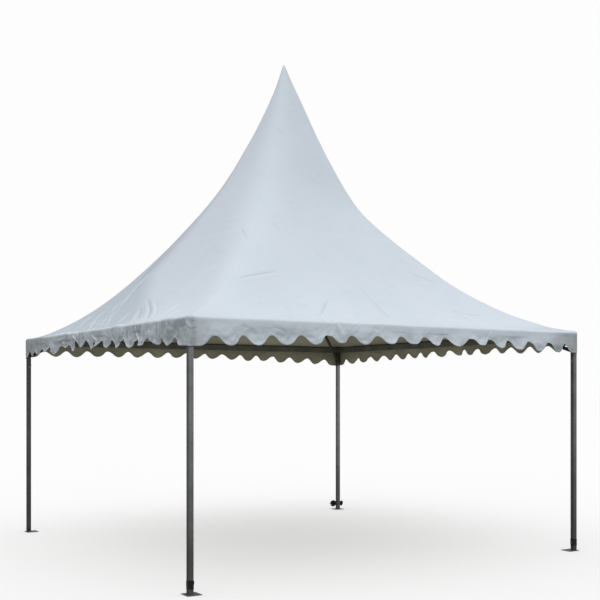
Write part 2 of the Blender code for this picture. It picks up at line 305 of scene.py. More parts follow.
def creaseHighlightAndShade(start, colour, height):
    # Folds: a painted highlight along their ridges, a painted shadow line beside, and painted grey shade in
    # the valleys
    crease = start.node("Attribute", {"attribute_name": "clothFold"}, out="Vector")
    offset, strength = crease.parts()[:2]
    core = offset.bell(0.42)
    beside = (offset + 1.15).bell(0.5)
    ridge = strength.larger(0.0)
    valley = -1 * strength.smaller(0.0)
    colour = (ridge * core * 0.85).mix(colour, clothLook["welt"])
    colour = (ridge * beside * 0.30 + valley * core * 0.42).mix(colour, clothLook["grimeAndShade"])
    return colour, height + strength * core * 0.0030


steelLook = {
    "bright": (0.255, 0.268, 0.268, 1),
    "dark": (0.115, 0.122, 0.120, 1),
    "rust": (0.150, 0.062, 0.028, 1),
    "soil": (0.088, 0.084, 0.074, 1),
    "low": (0.058, 0.060, 0.057, 1),       # towards the ground
    "spangle": 95.0,                       # zinc crystals to the metre
}


def steelFinish(name, tint, rustFrom=0.35, shine=0.86):
    # Hot dip galvanised tube: crystals, drawn-out scratches, white bloom, darker towards the ground, and rust
    # and mud low down
    material, shader, start = newFinish(name, {"Metallic": shine, "Specular IOR Level": 0.4})
    body = start.node("TexCoord", out="Object")
    x, y, z = body.parts()
    crystals = body.node("TexVoronoi", {"feature": "F1"}, {"Vector": body, "Scale": steelLook["spangle"]},
                         out="Color").parts()[0]
    cloud = body.noise(4.0, 4, 0.6)
    drawn = body.stretch(160, 160, 3.0).noise(1.0, 3, 0.6)
    tone = crystals * 0.30 + cloud.fade(0.3, 0.7) * 0.45 + drawn * 0.25
    dark, bright = [tuple(c * t for c, t in zip(steelLook[key], tint)) + (1,) for key in ("dark", "bright")]
    colour = tone.mix(dark, bright)
    # Darker towards the ground
    colour = (z.fade(1.4, 0.15) * 0.62).mix(colour, steelLook["low"])
    low = z.fade(rustFrom, 0.0)
    rusty = low * body.noise(38.0, 4, 0.65).fade(0.55, 0.68)
    muddy = z.fade(0.16, 0.0) * body.noise(13.0, 4, 0.6).fade(0.35, 0.62)
    colour = (rusty * 0.5).mix(colour, steelLook["rust"])
    colour = (muddy * 0.5).mix(colour, steelLook["soil"])
    rough = 0.36 + tone * 0.2 + (rusty + muddy) * 0.3
    height = (drawn - 0.5) * 0.00012 + (cloud - 0.5) * 0.0006 + rusty * 0.0002
    connect(shader, Base_Color=colour, Roughness=rough, Normal=relief(height))
    return material


webbingLook = {
    "black": (0.010, 0.010, 0.011, 1),
    "worn": (0.045, 0.045, 0.046, 1),
    "dust": (0.075, 0.068, 0.055, 1),
    "ribs": 0.0026,                        # from one rib to the next
    "twill": 0.0042,
}


def webbingFinish():
    # Woven strap: ribs across it, a twill along it, edges gone grey
    material, shader, start = newFinish("blackWebbing", {"Sheen Weight": 0.10, "Sheen Roughness": 0.45,
                                                         "Specular IOR Level": 0.15})
    place = start.node("Attribute", {"attribute_name": "clothPlace"}, out="Vector")
    body = start.node("TexCoord", out="Object")
    along, across, edge = place.parts()
    ribs = along.wave(webbingLook["ribs"])
    twill = (along + across * 2.0).wave(webbingLook["twill"])
    worn = body.noise(60.0, 4, 0.6).fade(0.45, 0.75)
    dust = body.noise(22.0, 3, 0.6).fade(0.45, 0.7)
    colour = (worn * 0.5 + edge.fade(0.7, 1.0) * 0.3).mix(webbingLook["black"], webbingLook["worn"])
    colour = (dust * 0.4).mix(colour, webbingLook["dust"])
    height = ribs * 0.00022 + twill * 0.00010
    connect(shader, Base_Color=colour, Roughness=0.72 + worn * 0.15, Normal=relief(height))
    return material


def newObject(name, mesh, *materials):
    obj = bpy.data.objects.new(name, mesh)
    bpy.context.scene.collection.objects.link(obj)
    for material in materials:
        mesh.materials.append(material)
    return obj


def meshFrom(bm, name):
    mesh = bpy.data.meshes.new(name)
    bm.to_mesh(mesh)
    bm.free()
    mesh.shade_smooth()
    return mesh


def paintPlaces(mesh, name, values):
    # Values on the vertices that the cloth and webbing finishes read
    layer = mesh.attributes.new(name, "FLOAT_VECTOR", "POINT")
    layer.data.foreach_set("vector", np.asarray(values, np.float32).ravel())


def clothPiece(bm, name, thickness, places, core, strength, *finishes):
    # A sheet with a thickness, an outer and an inner finish, and the values that they read on its vertices
    mesh = meshFrom(bm, name)
    paintPlaces(mesh, "clothPlace", places)
    paintPlaces(mesh, "clothFold", np.stack([core, strength, np.zeros(len(core))], 1))
    cloth = newObject(name, mesh, *finishes)
    shell = cloth.modifiers.new("Cloth", "SOLIDIFY")
    shell.thickness = thickness
    shell.offset = -1
    shell.material_offset = 1
    return cloth


def eased(share):
    # 0 to 1 with a soft start and a soft end
    return share * share * (3 - 2 * share)


def held(value):
    # Kept between 0 and 1
    return min(1.0, max(0.0, value))


def ripple(x, y, z):
    # Smooth random height, about -0.5 to 0.5
    return noise.noise(Vector((x, y, z)))


canopy = {
    "tipRadius": 0.012,
    "tipRise": 0.007,                      # of the very tip over the mast head
    # Hip lines as Bezier handles (distance from the axis, height): the slack differs between corners
    "hips": {
        "front_left": ((0.51, 4.47), (1.77, 2.92)),
        "front_right": ((0.64, 4.32), (1.43, 3.06)),
        "back_right": ((0.51, 4.47), (1.77, 2.92)),
        "back_left": ((0.34, 4.68), (2.12, 2.75)),
    },
    # Where a hip leaves its curve: (height, reach, how far outwards)
    "kinks": {
        "front_right": ((5.35, 0.45, 0.018), (4.28, 0.30, -0.027), (4.04, 0.20, -0.026),
                        (3.50, 0.26, 0.026), (3.34, 0.26, 0.030), (2.74, 0.15, -0.052)),
        "back_left": ((4.38, 0.42, -0.036), (3.60, 1.60, -0.021)),
    },
    "tipRoundness": 0.5,                   # plan section: 0.5 is a circle at the tip, 0 a square
    "roundnessFade": 1.4,
    "thickness": 0.0016,
    "foldRadius": 0.032,                   # where the cloth turns down over the eave beam
    "cornerRadius": 0.030,                 # and seen from above, round the corners
    "underlap": 0.0019,                    # roof cloth below the valance strip that is welded over it
    "columns": (184, 136, 136, 248),       # on each side, at the eave
    # Up the slope: length of the band, step between its rings, and one column in how many goes on
    "bands": ((1.30, 0.0280, 1), (0.70, 0.042, 2), (2.45, 0.056, 4), (9, 0.030, 8)),
    "unevenness": ((0.9, 0.0060), (0.38, 0.0034), (0.15, 0.0013)),      # size and height of the waves
    # Cloth lifted by the connector at each corner, and the dip just inside it
    "ears": {"front_left": 0.009, "front_right": 0.012, "back_right": 0.010, "back_left": 0.004},
    "earWidths": {"front_left": 0.065, "front_right": 0.13, "back_right": 0.13, "back_left": 0.13},
    "earDips": {"front_left": 0.0, "front_right": 0.014, "back_right": 0.008, "back_left": 0.006},
    "edgeWaves": {"left": 0.014, "others": 0.006},
    "fullFold": 0.014,                     # a fold this high is marked in full
}


def hipLine(corner, t):
    # Distance from the axis and height, from the tip (t 0) to the eave (t 1)
    (r1, z1), (r2, z2) = canopy["hips"][corner]
    weights = ((1 - t) ** 3, 3 * t * (1 - t) ** 2, 3 * t * t * (1 - t), t ** 3)
    radii = (canopy["tipRadius"], r1, r2, eaveHalf * math.sqrt(2))
    heights = (peak, z1, z2, eaveTop)
    radius = sum(w * r for w, r in zip(weights, radii))
    height = sum(w * z for w, z in zip(weights, heights))
    radius += sum(out * math.exp(-((height - level) / reach) ** 2)
                  for level, reach, out in canopy["kinks"].get(corner, ())) * min(1, (1 - t) * 12, t * 12)
    return radius, height


def roofPoint(side, u, t):
    # One point of a side's panel; u runs from -1 to 1 between its hips
    blend = eased((u + 1) / 2)
    start = hipLine(corners[side], t)
    end = hipLine(corners[(side + 1) % 4], t)
    radius = start[0] + (end[0] - start[0]) * blend
    height = start[1] + (end[1] - start[1]) * blend
    roundness = max(0.001, canopy["tipRoundness"] * (1 - t) ** canopy["roundnessFade"])
    bulge = (1 + abs(u) ** (1 / roundness)) ** roundness
    scale = radius * 2 ** (roundness - 0.5) / bulge
    return turned(side, u * scale, -scale, height), (u * scale, (1 - abs(u)) * scale)


def turned(side, x, y, z):
    # A point of the front side, carried round to another side
    return Matrix.Rotation(side * quarter, 3, "Z") @ Vector((x, y, z))


def eaveSlope(side, u):
    # Rise over run of the canopy just inside the eave
    slopes = []
    for corner in (corners[side], corners[(side + 1) % 4]):
        radius, height = hipLine(corner, 0.985)
        slopes.append((height - eaveTop) / (eaveHalf - radius / math.sqrt(2)))
    return slopes[0] + (slopes[1] - slopes[0]) * eased((u + 1) / 2)


def earLift(point, up):
    # How far the connector lifts its corner of the cloth, and the dip inside it
    gap = math.hypot(eaveHalf - abs(point[0]), eaveHalf - abs(point[1]))
    corner = corners[(1 if point[0] > 0 else 0) if point[1] < 0 else (2 if point[0] > 0 else 3)]
    away = abs(up) / (1.2 if up > 0 else 0.15)
    ear = canopy["ears"][corner] * math.exp(-(gap / canopy["earWidths"][corner]) ** 2)
    edge = "left" if -point[0] > abs(point[1]) else "others"
    along, seed = (point[1], 3) if edge == "left" else (point[0], 0)
    wave = ripple(along * 2.9, seed, 5.5) + 0.6 * ripple(along * 8.5, seed, 2.5)
    wave = canopy["edgeWaves"][edge] * max(0.0, wave) * min(1.0, gap / 0.3)
    dip = canopy["earDips"][corner] * math.exp(-((gap - 0.32) / 0.17) ** 2) * held(up / 0.1)
    return ear * max(0.0, 1.0 - away) + wave * max(0.0, 1.0 - away * 3) - dip


def eaveRoll(side, u, lap, tilt):
    # Distance out and height of the turn over the eave, where the cloth is tilted by that angle
    rise = eaveSlope(side, u)
    slope = math.atan(rise)
    fold = canopy["foldRadius"]
    middle = eaveTop + rise * fold * (1 - math.sin(slope)) + canopy["underlap"] - fold * math.cos(slope)
    angle = slope + (quarter - slope) * tilt
    return eaveHalf - fold + (fold - lap) * math.sin(angle), middle + (fold - lap) * math.cos(angle)


def roundCorner(point, half, radius):
    # Draws a point near the corner of a square onto a round corner
    inner = half - radius
    over = Vector((abs(point.x) - inner, abs(point.y) - inner))
    if radius < 0.001 or min(over) <= 0:
        return point
    over *= radius / over.length
    return Vector((math.copysign(inner + over.x, point.x), math.copysign(inner + over.y, point.y), point.z))


def slopeTable():
    # Each t and how far it is from the tip, down the middle of a panel
    samples = 400
    places = [hipLine("front_left", i / samples) for i in range(samples + 1)]
    lengths = [0.0]
    for (r0, z0), (r1, z1) in zip(places, places[1:]):
        lengths.append(lengths[-1] + math.hypot((r1 - r0) / math.sqrt(2), z1 - z0))
    return np.linspace(0, 1, samples + 1), np.array(lengths)


def roofRows():
    # (t, distance up the slope, share of the columns) of each ring, from the eave to the tip
    ts, lengths = slopeTable()
    total = lengths[-1]
    rows, up = [], 0.0
    for reach, step, share in canopy["bands"]:
        count = round(min(reach, total - up) / step)
        for index in range(count):
            if up < total - 0.004:
                rows.append((float(np.interp(total - up, lengths, ts)), up, share))
            up += step
    rows.append((0.0, total, canopy["bands"][-1][2]))
    return rows


def spread(index, count):
    # Columns closer together near the hips
    s = -1 + 2 * index / count
    gather = 0.07
    return s * (1 + gather - gather * s ** 8)


def joinRings(bm, lower, upper):
    # Quads between rings of equal count, or three triangles for each pair where the count halves
    count = len(lower)
    if len(upper) == count:
        for i in range(count):
            j = (i + 1) % count
            bm.faces.new((lower[i], lower[j], upper[j], upper[i]))
        return
    for i in range(len(upper)):
        a, b, c = lower[2 * i], lower[2 * i + 1], lower[(2 * i + 2) % count]
        d, e = upper[i], upper[(i + 1) % len(upper)]
        bm.faces.new((a, b, d))
        bm.faces.new((b, e, d))
        bm.faces.new((b, c, e))


def layRoof(bm):
    # Rings of the canopy with the turn over the eave, and each vertex's place on the cloth
    places = []
    rings = []
    for tilt in (1.0, 0.8, 0.6, 0.4, 0.2, 0.0):
        ring = []
        for side, columns in enumerate(canopy["columns"]):
            for column in range(columns):
                u = spread(column, columns)
                out, height = eaveRoll(side, u, canopy["underlap"], tilt)
                soft = canopy["cornerRadius"] - eaveHalf + out           # one centre for all the rings
                ring.append(bm.verts.new(roundCorner(turned(side, u * out, -out, height), out, soft)))
                places.append((u * out, 0.0, (1 - abs(u)) * out))
        rings.append(ring)
    rows = roofRows()
    for t, up, share in rows:
        if up < canopy["foldRadius"] + 0.02:                           # the roll takes this stretch
            continue
        ring = []
        for side, columns in enumerate(canopy["columns"]):
            for column in range(columns // share):
                u = spread(column, columns // share)
                point, (along, hip) = roofPoint(side, u, t)
                soft = 0.4 * canopy["cornerRadius"] * max(0.0, 1 - up / 0.3)
                ring.append(bm.verts.new(roundCorner(point, max(abs(point.x), abs(point.y)), soft)))
                places.append((along, up, hip))
        rings.append(ring)
    for lower, upper in zip(rings, rings[1:]):
        joinRings(bm, lower, upper)
    tip = bm.verts.new((0, 0, peak + canopy["tipRise"]))
    places.append((0, rows[-1][1] + canopy["tipRadius"], 0))
    last = rings[-1]
    for near, far in zip(last, last[1:] + last[:1]):
        bm.faces.new((near, far, tip))
    return places


# Folds of the canopy, each a line of pixels in the photograph, with its width and height in metres.
# A minus height is a valley. The two hidden panels repeat them, turned half round.
folds = {
    "streak long": (((116, 310.2), (126.3, 298.7), (136.5, 287.2), (149.3, 274.4), (157, 265.5)),
                    0.030, 0.016),
    "streak long shade": (((120, 309), (130.4, 297.4), (143, 282)), 0.026, -0.009),
    "streak long twin": (((106, 320), (121, 305.5), (132, 293)), 0.024, 0.011),
    "streak second": (((95.5, 325.7), (114.8, 307.6), (126.3, 296.1)), 0.028, 0.017),
    "streak second shade": (((99.5, 325), (117, 308.5), (127.5, 298)), 0.024, -0.008),
    "streak third": (((101, 326), (111, 316.5), (118, 309.4)), 0.024, 0.015),
    "streak fourth": (((116, 323.5), (123.8, 317.8), (130, 311.4)), 0.024, 0.014),
    "streak fourth shade": (((119, 323.5), (127, 317.4), (134, 310)), 0.022, -0.007),
    "streak fifth": (((129, 323.5), (134, 316.5), (137.8, 310.2)), 0.024, 0.011),
    "dent by the eave": (((141.6, 306.3), (139, 315.3), (136.5, 319.5)), 0.028, -0.013),
    "dent curve": (((147.5, 298), (150.2, 308.9), (147.6, 316.5), (146.4, 320.6)), 0.027, -0.014),
    "dent rim": (((152.5, 301), (154.6, 309), (151.8, 318)), 0.034, 0.008),
    "near corner streak": (((152, 320.6), (165.9, 312.7), (178.6, 303.8), (188.8, 297.4)), 0.024, 0.011),
    "valley from the near corner": (((157, 320), (169, 312.6), (183, 303)), 0.022, -0.007),
    "near corner low": (((160, 320.4), (172, 314), (184, 306.6)), 0.022, 0.008),
    "far streak": (((86.5, 327), (98.3, 316.5), (111, 306.3)), 0.028, 0.016),
    "far streak lower": (((72, 331), (84, 322), (96, 311.5)), 0.028, 0.014),
    "far streak edge": (((56, 335), (68, 328.5), (80, 320.5)), 0.028, 0.010),
    "far fan": (((87, 331), (91.5, 325.5), (97, 318.8)), 0.020, 0.015),
    "far fan second": (((92.2, 330), (96, 325), (100.2, 319.4)), 0.020, 0.015),
    "far fan third": (((97.8, 327.8), (101.5, 323), (105.6, 318)), 0.020, 0.015),
    "far fan fourth": (((104, 327.2), (107.3, 323), (111, 318.4)), 0.020, 0.014),
    "far fan shade": (((89.6, 330.4), (94, 325), (99, 319)), 0.018, -0.010),
    "far fan shade second": (((95, 328.9), (98.9, 324), (103, 319)), 0.018, -0.010),
    "far fan shade third": (((101.2, 327.8), (104.6, 323.4), (108.4, 318.8)), 0.018, -0.010),
    "shade along the far hip": (((136, 284), (152, 267), (171, 246), (184, 232)), 0.100, -0.012),
    "near hip pull": (((211.5, 243.4), (219, 254)), 0.024, -0.004),
    "front sharp": (((230.6, 279.4), (240, 278.2), (252.2, 275.1), (281.6, 270)), 0.017, -0.011),
    "front sharp rim": (((232, 282), (254, 278), (283, 273)), 0.026, 0.005),
    "high pull": (((225.5, 221), (247, 213.4)), 0.022, 0.007),
    "high pull lower": (((227.4, 225), (247.2, 217.2)), 0.022, -0.007),
    "high hook": (((240.8, 228), (244, 233), (247.8, 240)), 0.022, -0.007),
    "right faint": (((402, 269), (417, 275.8), (428, 280), (442, 284.3)), 0.020, -0.007),
    "right middle": (((448.2, 308.8), (462.4, 313.9), (484.9, 315.9)), 0.021, -0.010),
    "right lower": (((452.2, 311.8), (466, 318.5), (480.8, 325.1)), 0.021, -0.009),
    "right lower rim": (((458, 311.5), (476, 319.5), (490, 324)), 0.028, 0.005),
    "front pull": (((360.4, 287.3), (375, 304), (389, 319.5)), 0.026, -0.006),
    "front pull shade": (((374, 300), (384, 311), (391, 319.5)), 0.024, -0.006),
    "front dent": (((328.6, 298), (325, 306), (319.6, 317)), 0.026, -0.010),
    "front small": (((280, 306), (289, 313)), 0.026, 0.005),
}


def foldLines(tree, marks):
    # Each fold laid on the cloth: points, width, height
    lines = []
    for pixels, width, height in marks.values():
        points = []
        for pixel in pixels:
            hit = tree.ray_cast(photo["place"], photoRay(*pixel).normalized())[0]
            if hit:
                points.append(np.array(hit))
        if len(points) > 1:
            lines.append((points, width, height))
    return lines


def distanceTo(points, line):
    # For each point: signed distance to a line of points, and how far along it lies, 0 to 1
    best = np.full(len(points), 1e9)
    signed = np.zeros(len(points))
    share = np.zeros(len(points))
    lengths = [float(np.linalg.norm(b - a)) for a, b in zip(line, line[1:])]
    total, gone = sum(lengths), 0.0
    for a, b, length in zip(line, line[1:], lengths):
        run = (b - a) / length
        across = np.cross(run, np.array((0.3, 0.1, 1.0)))
        across /= np.linalg.norm(across) + 1e-9
        reach = (points - a) @ run
        near = a + np.outer(np.clip(reach, 0, length), run)
        gap = points - near
        distance = np.linalg.norm(gap, axis=1)
        closer = distance < best
        best[closer] = distance[closer]
        signed[closer] = (distance * np.sign(gap @ across))[closer]
        share[closer] = ((gone + reach) / total)[closer]
        gone += length
    return signed, share


def foldCloth(points, lines, full):
    # How far each point rises, its distance from the nearest fold in widths, and that fold's strength,
    # which is whole for a fold of the full height
    lift = np.zeros(len(points))
    core = np.full(len(points), 20.0)
    strength = np.zeros(len(points))
    for line, width, height in lines:
        signed, share = distanceTo(points, line)
        taper = eased(np.clip(share / 0.22, 0, 1) * np.clip((1 - share) / 0.30, 0, 1))
        rise = np.exp(-(signed / width) ** 2) - 0.45 * np.exp(-(signed / (2.4 * width)) ** 2)
        lift += height * taper * rise
        signed = signed / width
        nearer = np.abs(signed) < np.abs(core)
        core[nearer] = signed[nearer]
        strength[nearer] = (taper * np.clip(height / full, -1, 1))[nearer]
    return lift, core, strength


def makeRoof():
    bm = bmesh.new()
    places = np.array(layRoof(bm))
    bm.normal_update()
    bm.verts.ensure_lookup_table()
    points = np.array([v.co for v in bm.verts])
    normals = np.array([v.normal for v in bm.verts])
    lines = foldLines(BVHTree.FromBMesh(bm), folds)
    dice = random.Random(7)
    for line, width, height in list(lines):        # the hidden panels: half a turn, a little changed
        turn = np.diag((-1.0, -1.0, 1.0))
        drift = np.array((dice.uniform(-0.2, 0.2), dice.uniform(-0.2, 0.2), 0))
        moved = [turn @ p + drift for p in line]
        lines.append((moved, width, height * dice.uniform(0.7, 1.1)))
    lift, core, strength = foldCloth(points, lines, canopy["fullFold"])
    waves = np.zeros(len(points))
    for size, height in canopy["unevenness"]:
        waves += [noise.noise(Vector(p) / size + Vector((size * 31, 0, 0))) * height for p in points]
    up = places[:, 1]
    calm = np.clip((up - 0.03) / 0.10, 0, 1) * np.clip((up[-1] - up) / 0.8, 0.1, 1)
    calmHip = np.clip(places[:, 2] / 0.10, 0.25, 1)
    shift = (waves * calmHip + lift) * calm
    moved = points + normals * shift[:, None]
    moved[:, 2] += [earLift(point, height) for point, height in zip(points, up)]
    for vert, point in zip(bm.verts, moved):
        vert.co = point
    roof = clothPiece(bm, "roofCloth", canopy["thickness"], places, core, strength,
                      clothFinish("roofCoating"), clothFinish("roofUnderside", outer=False))
    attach(roof, "root")
    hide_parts("roof_canopy")
    print("canopy laid:", len(points), "points,", len(lines), "folds")


valance = {
    # Height of the arch tops at the left end, the middle and the right end of each side, seen outside
    "archHeights": {"front": (2.368, 2.432, 2.408), "right": (2.404, 2.418, 2.358),
                    "back": (2.353, 2.418, 2.398), "left": (2.381, 2.420, 2.360)},
    # Where the hem is pulled up: pixel column, rise, reach
    "raised": {"left": ((74.5, 0.045, 0.13), (86.5, 0.026, 0.12), (95.5, 0.014, 0.08))},
    "fullness": 0.26,                      # above 0, lobes are wider than the arches between them
    "flatness": 0.7,                       # how flat the scallops are cut at top and bottom
    "pointed": 0.6,                        # a lobe gathered this much beyond 1 hangs as a plain V
    # Pixel columns in the photograph of the 16 arches of a side, and of the 15 lobes between them
    "arches": {
        "front": (214, 243, 272, 301, 326, 351, 377, 401, 424, 445, 470, 489, 508, 528, 547, 563.5),
        "right": (566, 547, 530, 511, 495, 478, 465, 449, 434, 421, 408, 396, 383, 371, 359, 347),
        "back": (324, 307, 290, 273, 256, 240, 222, 205, 187, 168, 148, 128, 108, 87, 66, 44),
        "left": (29, 35.5, 42.5, 50, 59, 66.5, 73.8, 85.5, 92.5, 102.5, 110.5, 124, 136, 147, 161, 174),
    },
    "tips": {
        "front": (231, 259, 288, 316, 343, 366, 391, 414, 437, 458, 483, 502, 520, 540, 559),
        "right": (558, 539, 520, 502, 485, 470, 459, 442, 425, 414, 403, 389, 376, 363, 352),
        "back": (315, 298, 281, 263, 248, 232, 213, 196, 176, 158, 138, 119, 98, 77, 56),
        "left": (32, 38, 45, 54.3, 64, 70.5, 79, 90.5, 94, 103.5, 113.5, 130, 141, 155, 166),
    },
    "columns": 380,                        # on each side
    "rows": 18,
    "cornerSteps": 10,
    "rollSteps": 6,
    "welded": 0.030,                       # strip that lies on the roof cloth
    "thickness": 0.0016,
    "clothShare": 0.4,                     # the cloth's thickness as a share of the binding's
    "fullFold": 0.018,                     # a fold this high is marked in full
    # How each lobe hangs, from the left hand end: depth below the arches, tilt outwards and twist
    # (degrees), ridge down its middle (m), and how much it is gathered in (1 as cut)
    "lobes": {
        "front": {
            0: (0.092, 0, 0, 0.000, 1.0),
            1: (0.094, 4, 0, 0.002, 1.0),
            2: (0.094, -5, 3, 0.003, 1.0),
            3: (0.092, -3, 0, 0.004, 1.0),
            4: (0.091, -4, 6, 0.006, 1.0),
            5: (0.078, 12, 8, 0.008, 1.0),
            6: (0.088, 0, -8, 0.008, 1.0),
            7: (0.079, 2, 4, 0.004, 1.0),
            8: (0.074, -4, 8, 0.010, 1.0),
            9: (0.084, 4, -4, 0.006, 1.0),
            10: (0.088, 6, -8, 0.010, 1.0),
            11: (0.064, 10, 12, 0.010, 1.0),
            12: (0.088, 0, 10, 0.008, 1.0),
            13: (0.096, 2, 6, 0.004, 1.0),
            14: (0.100, -2, 8, 0.004, 1.0),
            15: (0.098, -2, 8, 0.004, 1.0),
            16: (0.094, 0, 0, 0.000, 1.0),
        },
        "left": {
            0: (0.080, 0, 0, 0.000, 1.0),
            1: (0.074, 3, -10, -0.004, 1.4),
            2: (0.070, 3, -10, -0.006, 1.4),
            3: (0.050, 20, 8, 0.006, 1.2),
            4: (0.100, 4, -10, -0.004, 1.1),
            5: (0.030, 24, 10, 0.010, 1.5),
            6: (0.105, 0, -14, -0.006, 1.6),
            7: (0.066, 26, -6, 0.012, 1.6),
            8: (0.104, -4, -12, -0.010, 1.7),
            9: (0.090, 34, 26, 0.012, 1.2),
            10: (0.092, 4, -20, -0.004, 1.8),
            11: (0.094, 4, -22, -0.004, 1.7),
            12: (0.102, 0, -22, -0.008, 1.8),
            13: (0.076, 6, -20, 0.012, 1.0),
            14: (0.076, -14, 6, 0.000, 1.3),
            15: (0.088, 4, -20, -0.004, 1.7),
            16: (0.078, 0, 0, 0.000, 1.0),
        },
    },
    # Length of cloth that hangs plumb before a lobe leans
    "leanFrom": {"front": 0.03, "right": 0.03, "back": 0.03, "left": 0.08},
    "crumple": {"front": 1.2, "right": 1.0, "back": 1.0, "left": 1.6},
}

# Creases of the valances, as the folds of the canopy
creases = {
    "near corner crescent": (((185.8, 319.6), (187.2, 323.5), (189.6, 326.2), (194.5, 327)), 0.011, 0.014),
    "near corner shade": (((184.6, 320), (185.2, 323.5), (184, 327.5)), 0.020, -0.016),
    "near corner pull": (((190, 328.4), (199, 328)), 0.009, -0.007),
    "near corner dent": (((188, 320.2), (192, 321.6), (196, 321.4)), 0.014, -0.012),
    "front dent first": (((240, 323.5), (250, 329)), 0.020, -0.007),
    "front dent second": (((271, 325), (290, 333)), 0.020, -0.006),
    "front mark": (((313, 326), (317, 332)), 0.012, -0.007),
    "front bright patch": (((338, 323), (345, 339)), 0.030, 0.012),
    "front crease third": (((330, 323), (325, 331)), 0.011, -0.007),
    "fifth arch left": (((345, 324), (350.5, 334)), 0.014, 0.008),
    "fifth arch right": (((361, 324), (352, 334)), 0.014, 0.008),
    "front crease fifth": (((355, 325), (362, 331)), 0.012, -0.008),
    "front crease sixth": (((372, 325), (378, 331)), 0.012, -0.008),
    "sixth arch right": (((386, 325), (379, 334)), 0.014, 0.007),
    "seventh arch": (((406, 325), (401, 333)), 0.014, 0.008),
    "eighth arch": (((431, 328), (425, 335)), 0.014, 0.006),
    "front crease ninth": (((447, 327), (441, 337)), 0.014, -0.006),
    "eleventh lean": (((492, 331), (486, 343)), 0.018, 0.008),
    "left bright crease": (((135.6, 323.6), (135.9, 328.5), (136.8, 333.4), (138.6, 338.3), (140.2, 343)),
                           0.020, 0.020),
    "left dark crease": (((139.6, 325), (138.8, 331), (140.2, 336)), 0.022, -0.010),
    "left ridge twelfth": (((128.2, 328), (128.8, 336), (130, 345)), 0.018, 0.008),
    "left crease near twelfth": (((121.7, 327), (122.7, 333)), 0.016, 0.012),
    "left dent near twelfth": (((123.6, 331), (122.6, 336)), 0.022, -0.012),
    "left dent under fold": (((146.5, 327), (151, 329.5)), 0.026, -0.009),
    "left dent by the corner": (((167, 322.6), (169, 324.4), (173, 326)), 0.026, -0.016),
    "left ridge by the corner": (((166.6, 322), (167.2, 328), (166, 334)), 0.016, 0.010),
    "left shade by the corner": (((176, 321), (182, 325), (178, 330)), 0.040, -0.010),
    "left V far edge": (((72.2, 335.2), (74.6, 338.4), (78.2, 343.6)), 0.020, 0.020),
    "left V near edge": (((77.2, 333), (78.4, 337.6)), 0.020, 0.016),
    "left V shade": (((80.4, 333.5), (82.6, 337), (84, 341)), 0.024, -0.012),
    "left ridge ninth": (((91.2, 333.8), (93.6, 338), (97.6, 340.6)), 0.022, 0.018),
    "left ridge eighth": (((89.8, 336), (91.4, 341)), 0.014, 0.010),
    "left valley eighth": (((88.4, 334), (87.6, 341)), 0.022, -0.012),
    "left shade tenth": (((97, 331.6), (100.5, 335), (103.5, 337.6)), 0.030, -0.012),
    "left ridge tenth": (((104.6, 334), (108, 336.6)), 0.016, 0.012),
    "left ridge eleventh": (((112, 338), (115.5, 342.5)), 0.016, 0.014),
    "left valley eleventh": (((111, 331), (108.4, 336)), 0.024, -0.010),
    "left ridge fourth": (((52.2, 343), (53.6, 350)), 0.020, 0.010),
    "left white edge fifth": (((62.4, 341.6), (65.2, 344.8)), 0.016, 0.018),
    "left shade sixth": (((66.5, 339.5), (69.5, 342.5), (70.6, 346)), 0.026, -0.010),
    "left pull to the third": (((67, 336.4), (60.5, 339.5), (56, 343)), 0.022, 0.010),
    "left shade second": (((33, 340), (38, 346)), 0.026, -0.008),
}


def columnPlaces(side, columns, outwards=0.0):
    # Where pixel columns of the photograph meet a side, from its left hand end
    corner = turned(side, 0, -(eaveHalf + outwards), 0)
    along = turned(side, 1, 0, 0)
    places = []
    for column in columns:
        ray = photoRay(column, photo["horizon"])
        normal = corner.normalized()
        reach = (corner.length - photo["place"].dot(normal)) / ray.dot(normal)
        places.append((photo["place"] + ray * reach).dot(along))
    return places


pulledUp = []                                                          # for each side, where its hem rises
for side, name in enumerate(sides):
    raised = valance["raised"].get(name, ())
    places = columnPlaces(side, [column for column, rise, reach in raised])
    pulledUp.append([(place, rise, reach) for place, (column, rise, reach) in zip(places, raised)])


def lobeTable(side):
    # One row for each of the 17 lobes of a side, with its place along the side
    name = sides[side]
    chosen = valance["lobes"].get(name)
    if chosen:
        keys = sorted(chosen)
        return np.array([[np.interp(k, keys, [chosen[key][column] for key in keys]) for column in range(5)]
                         for k in range(17)])
    dice = random.Random(side)
    rows = []
    for k in range(17):
        free = 0.0 if k in (0, 16) else 1.0
        rows.append((0.078 + dice.uniform(-0.006, 0.006), dice.uniform(0, 8) * free,
                     dice.uniform(-16, 16) * free, dice.uniform(0, 0.016) * free,
                     1 + dice.uniform(-0.1, 0.3) * free))
    return np.array(rows)


def valancePath():
    # Columns round the tent: side, place along the side, point, outward direction
    radius, steps = canopy["cornerRadius"], valance["cornerSteps"]
    straight = eaveHalf - radius
    path = []
    for side in range(4):
        for index in range(valance["columns"]):
            along = -straight + 2 * straight * index / valance["columns"]
            path.append((side, along, turned(side, along, -eaveHalf, 0), turned(side, 0, -1, 0)))
        for step in range(steps):
            angle = quarter * step / steps
            along = straight + radius * math.sin(angle)
            away = -straight - radius * math.cos(angle)
            facing = turned(side, math.sin(angle), -math.cos(angle), 0)
            if step * 2 < steps:
                path.append((side, along, turned(side, along, away, 0), facing))
            else:
                path.append(((side + 1) % 4, away, turned(side, along, away, 0), facing))
    return path


